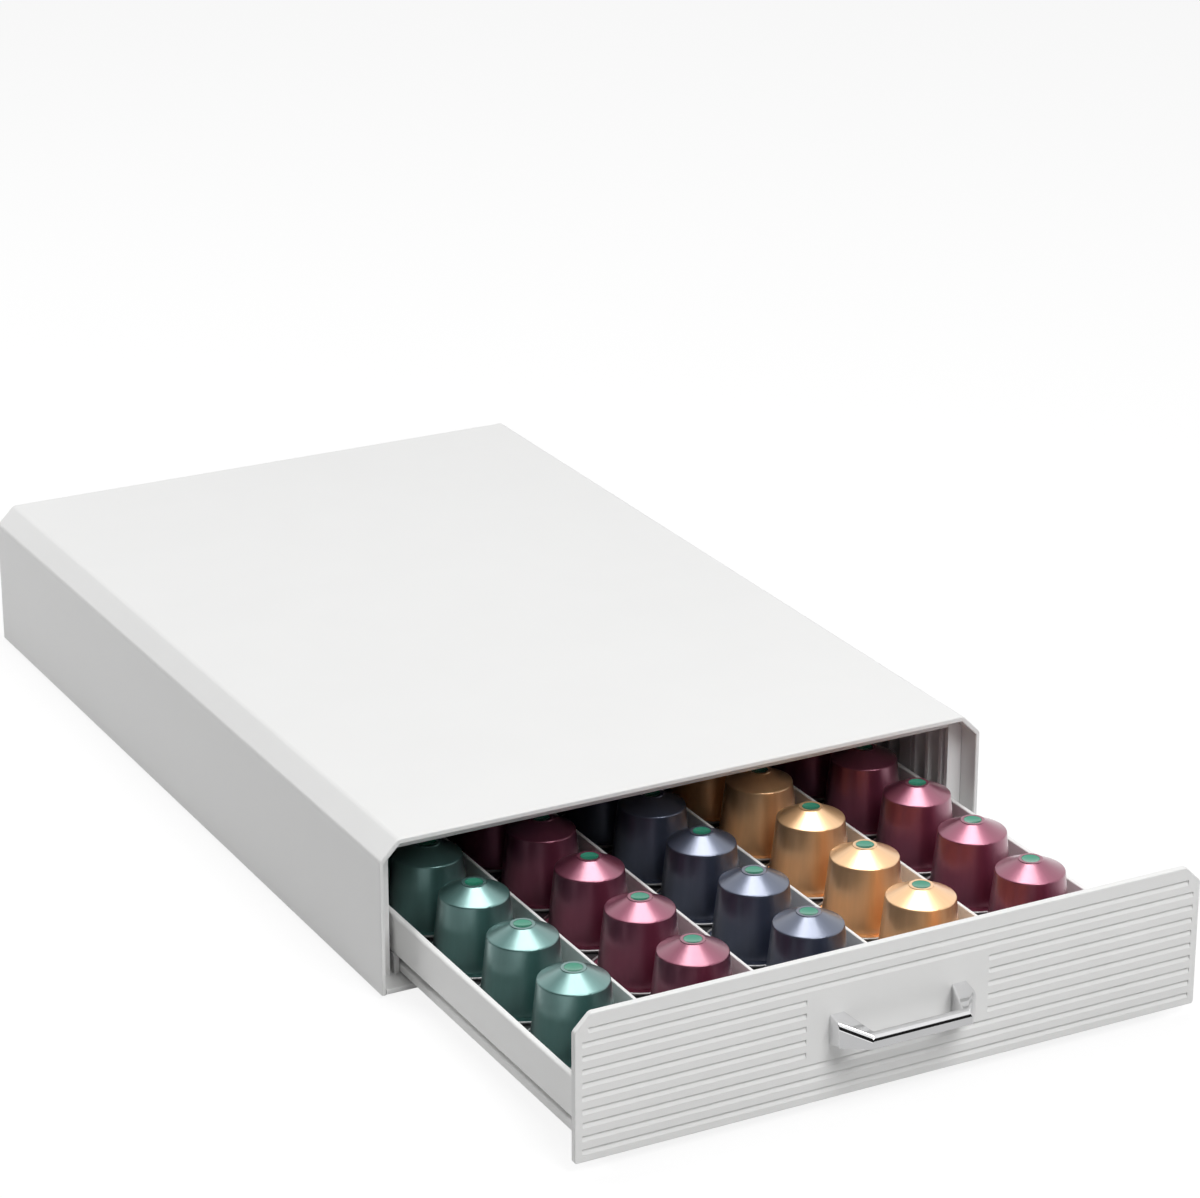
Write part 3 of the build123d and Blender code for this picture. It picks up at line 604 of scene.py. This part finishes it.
class DISPENSER_OT_dots(bpy.types.Operator):
    """Make the lacquered dots on top of the capsules"""

    bl_idname = "dispenser.dots"
    bl_label = "Dots"

    def execute(self, context):
        colours = context.scene.dispenser_colours
        sizes = context.scene.dispenser_sizes
        sharp_angle = math.radians(40)
        values = {
            "Colour": colours.dot,
            "Grain Size": sizes.dot_grain,
            "Mottling": 0.15,
            "Roughness": 0.2,
            "Gloss Spread": 0.08,
        }
        lacquered = {"Metallic": 0.35, "Coat Weight": 0.6, "Coat Roughness": 0.1}
        lacquer = finish("dot_lacquer", moulded_skin, values, LACQUER_GRAIN_DEPTH, lacquered)
        middle_z = CAPSULE_TOP - sizes.dot_seat + sizes.dot_thickness / 2
        dots = grow(
            "capsule_dots",
            dots_tree(),
            {
                "Lanes": LANES,
                "Rows": ROWS,
                "Lane Pitch": LANE_PITCH,
                "Row Pitch": ROW_PITCH,
                "Middle": (0, CAPSULE_MIDDLE_Y, middle_z),
                "Radius": sizes.dot_diameter / 2,
                "Thickness": sizes.dot_thickness,
                "Dish": sizes.dot_dish,
                "Sides": sizes.dot_sides,
                "Rings": sizes.dot_rings,
                "Material": lacquer,
            },
        )
        dots.data.shade_smooth()
        dots.data.set_sharp_from_angle(angle=sharp_angle)
        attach(dots, "drawer")
        return {"FINISHED"}


# Stage


def background_rays(tree):
    """1 for the rays that see the white background: camera, glossy and transmission."""
    rays = add(tree, "ShaderNodeLightPath").outputs
    mirrored = calc(tree, "MAXIMUM", rays["Is Glossy Ray"], rays["Is Transmission Ray"])
    return calc(tree, "MAXIMUM", rays["Is Camera Ray"], mirrored)


def stage_material(name):
    """Empty material for the stage, as the material and its tree."""
    material = bpy.data.materials.new(name)
    material.use_nodes = True
    material.node_tree.nodes.clear()
    return material, material.node_tree


def stage_mesh(name, corners, faces, material):
    """Flat object that belongs to the stage."""
    mesh = bpy.data.meshes.new(name)
    mesh.from_pydata(corners, [], faces)
    mesh.materials.append(material)
    piece = bpy.data.objects.new(name, mesh)
    bpy.context.scene.collection.objects.link(piece)
    return piece


def rectangle(low_x, low_y, high_x, high_y, z):
    """Corners of a level rectangle."""
    return [(low_x, low_y, z), (high_x, low_y, z), (high_x, high_y, z), (low_x, high_y, z)]


def pale_floor(stage):
    """Floor that shows as white and keeps a soft shadow."""
    material, tree = stage_material("floor")
    bounce = add(tree, "ShaderNodeBsdfDiffuse", {"Color": grey(stage.floor_bounce)})
    shade = add(tree, "ShaderNodeBsdfDiffuse", {"Color": grey(stage.floor_shade)})
    glow = add(tree, "ShaderNodeEmission", {"Color": grey(1), "Strength": stage.floor_glow})
    seen = add(tree, "ShaderNodeAddShader", {0: shade.outputs[0], 1: glow.outputs[0]})
    mixed = add(
        tree, "ShaderNodeMixShader", {0: background_rays(tree), 1: bounce.outputs[0], 2: seen.outputs[0]}
    )
    add(tree, "ShaderNodeOutputMaterial", {"Surface": mixed.outputs[0]})
    side = stage.floor_side
    stage_mesh("floor", rectangle(-side, -side, side, side, 0), [(0, 1, 2, 3)], material)


def studio_world(stage):
    """World that is white to look at and lights the part more from the sides than from above."""
    world = bpy.data.worlds.new("studio")
    world.use_nodes = True
    tree = world.node_tree
    tree.nodes.clear()
    direction = add(tree, "ShaderNodeTexCoord").outputs["Generated"]
    height = add(tree, "ShaderNodeSeparateXYZ", {"Vector": direction}).outputs["Z"]
    sky = add(
        tree,
        "ShaderNodeMapRange",
        {"Value": height, "From Min": 0, "From Max": 1, "To Min": stage.horizon, "To Max": stage.zenith},
    ).outputs[0]
    seen = background_rays(tree)
    unseen = calc(tree, "SUBTRACT", 1, seen)
    strength = calc(tree, "ADD", calc(tree, "MULTIPLY", unseen, sky), seen)
    light = add(tree, "ShaderNodeBackground", {"Color": grey(1), "Strength": strength})
    add(tree, "ShaderNodeOutputWorld", {"Surface": light.outputs[0]})
    return world


def area_lamp(name, lamp_place, lamp_power, width, depth, turn=0):
    """Softbox that faces the middle of the capsules, its width level and turned from the X axis."""
    lamp = bpy.data.lights.new(name, "AREA")
    lamp.shape = "RECTANGLE"
    lamp.size = width
    lamp.size_y = depth
    lamp.energy = lamp_power
    light = bpy.data.objects.new(name, lamp)
    bpy.context.scene.collection.objects.link(light)
    light.location = lamp_place
    back = (Vector(lamp_place) - Vector((0, CAPSULE_MIDDLE_Y, CAPSULE_TOP))).normalized()
    flat = Vector((math.cos(turn), math.sin(turn), 0))
    across = (flat - flat.dot(back) * back).normalized()
    light.rotation_euler = Matrix((across, back.cross(across), back)).transposed().to_euler()


def card(name, corners, faces, strength):
    """Glowing stage card that shows only in gloss and throws no shadow."""
    material, tree = stage_material(name)
    glow = add(tree, "ShaderNodeEmission", {"Color": grey(1), "Strength": strength})
    add(tree, "ShaderNodeOutputMaterial", {"Surface": glow.outputs[0]})
    piece = stage_mesh(name, corners, faces, material)
    piece.visible_camera = False
    piece.visible_diffuse = False
    piece.visible_transmission = False
    piece.visible_shadow = False


def dark_card(stage):
    """Dark card bent round the front, which shows only in gloss: a painted dark reflection in the handle's
    chrome.
    """
    handle_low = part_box("pull_handle")[0]
    bends = stage.card_bends
    corners = []
    for bend in range(bends + 1):
        share = bend / bends
        turn = stage.card_start + stage.card_sweep * share
        x = stage.card_radius * math.cos(turn)
        y = handle_low.y + stage.card_radius * math.sin(turn)
        top = stage.card_left + (stage.card_right - stage.card_left) * share
        corners += [(x, y, 0), (x, y, top)]
    faces = [(2 * bend, 2 * bend + 2, 2 * bend + 3, 2 * bend + 1) for bend in range(bends)]
    card("dark_card", corners, faces, stage.card_glow)


def floor_cards(stage):
    """Grey cards on the floor that glow and show only in gloss: painted reflections of a shaded floor, one in
    the handle's front, the other in the cups' left sides.
    """
    panel_low, panel_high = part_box("front_panel")
    shell_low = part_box("cabinet_shell")[0]
    reach = stage.grey_depth
    near = panel_low.y - stage.grey_gap
    left = panel_low.x - stage.left_gap
    rear = shell_low.y + stage.left_gap
    front_corners = rectangle(panel_low.x, near - reach, panel_high.x + reach, near, stage.grey_height)
    left_corners = rectangle(left - reach, near, left, rear, stage.grey_height)
    card("front_card", front_corners, [(0, 1, 2, 3)], stage.grey_glow)
    card("left_card", left_corners, [(0, 1, 2, 3)], stage.left_glow)


def stage_camera(stage):
    """The photograph's viewpoint."""
    camera = bpy.data.objects.new("camera", bpy.data.cameras.new("camera"))
    bpy.context.scene.collection.objects.link(camera)
    camera.location = stage.camera_place
    camera.rotation_euler = (stage.camera_tilt, 0, stage.camera_turn)
    camera.data.lens = stage.camera_lens
    camera.data.sensor_width = stage.camera_sensor
    camera.data.clip_start = stage.camera_near
    return camera


class DISPENSER_OT_stage(bpy.types.Operator):
    """Set the floor, the lights and the camera"""

    bl_idname = "dispenser.stage"
    bl_label = "Stage"

    def execute(self, context):
        scene = context.scene
        stage = scene.dispenser_stage
        scene.view_settings.view_transform = "Standard"
        scene.world = studio_world(stage)
        pale_floor(stage)
        area_lamp("key", stage.key_place, stage.key_power, stage.key_width, stage.key_depth, stage.key_turn)
        area_lamp("front", stage.front_place, stage.front_power, stage.front_width, stage.front_width)
        area_lamp("side", stage.side_place, stage.side_power, stage.side_width, stage.side_width)
        dark_card(stage)
        floor_cards(stage)
        scene.camera = stage_camera(stage)
        return {"FINISHED"}


# Add-on

GROUPS = {
    "dispenser_colours": DispenserColours,
    "dispenser_sizes": DispenserSizes,
    "dispenser_stage": DispenserStage,
}
OPERATORS = (
    DISPENSER_OT_cabinet,
    DISPENSER_OT_tray,
    DISPENSER_OT_front,
    DISPENSER_OT_hardware,
    DISPENSER_OT_capsules,
    DISPENSER_OT_dots,
    DISPENSER_OT_stage,
)


class DISPENSER_PT_looks(bpy.types.Panel):
    """Sidebar panel with the settings and steps of the dispenser's looks"""

    bl_label = "Capsule Dispenser"
    bl_idname = "DISPENSER_PT_looks"
    bl_space_type = "VIEW_3D"
    bl_region_type = "UI"
    bl_category = "Dispenser"

    def draw(self, context):
        for name in GROUPS:
            settings = getattr(context.scene, name)
            box = self.layout.box()
            for setting in settings.__annotations__:
                box.prop(settings, setting)
        for operator in OPERATORS:
            self.layout.operator(operator.bl_idname)


CLASSES = (*GROUPS.values(), *OPERATORS, DISPENSER_PT_looks)


def register():
    for kind in CLASSES:
        bpy.utils.register_class(kind)
    for name, group in GROUPS.items():
        setattr(bpy.types.Scene, name, PointerProperty(type=group))


def unregister():
    for name in GROUPS:
        delattr(bpy.types.Scene, name)
    for kind in reversed(CLASSES):
        bpy.utils.unregister_class(kind)


def main():
    register()
    bpy.ops.dispenser.cabinet()
    bpy.ops.dispenser.tray()
    bpy.ops.dispenser.front()
    bpy.ops.dispenser.hardware()
    bpy.ops.dispenser.capsules()
    bpy.ops.dispenser.dots()
    bpy.ops.dispenser.stage()


if __name__ == "__main__":
    main()
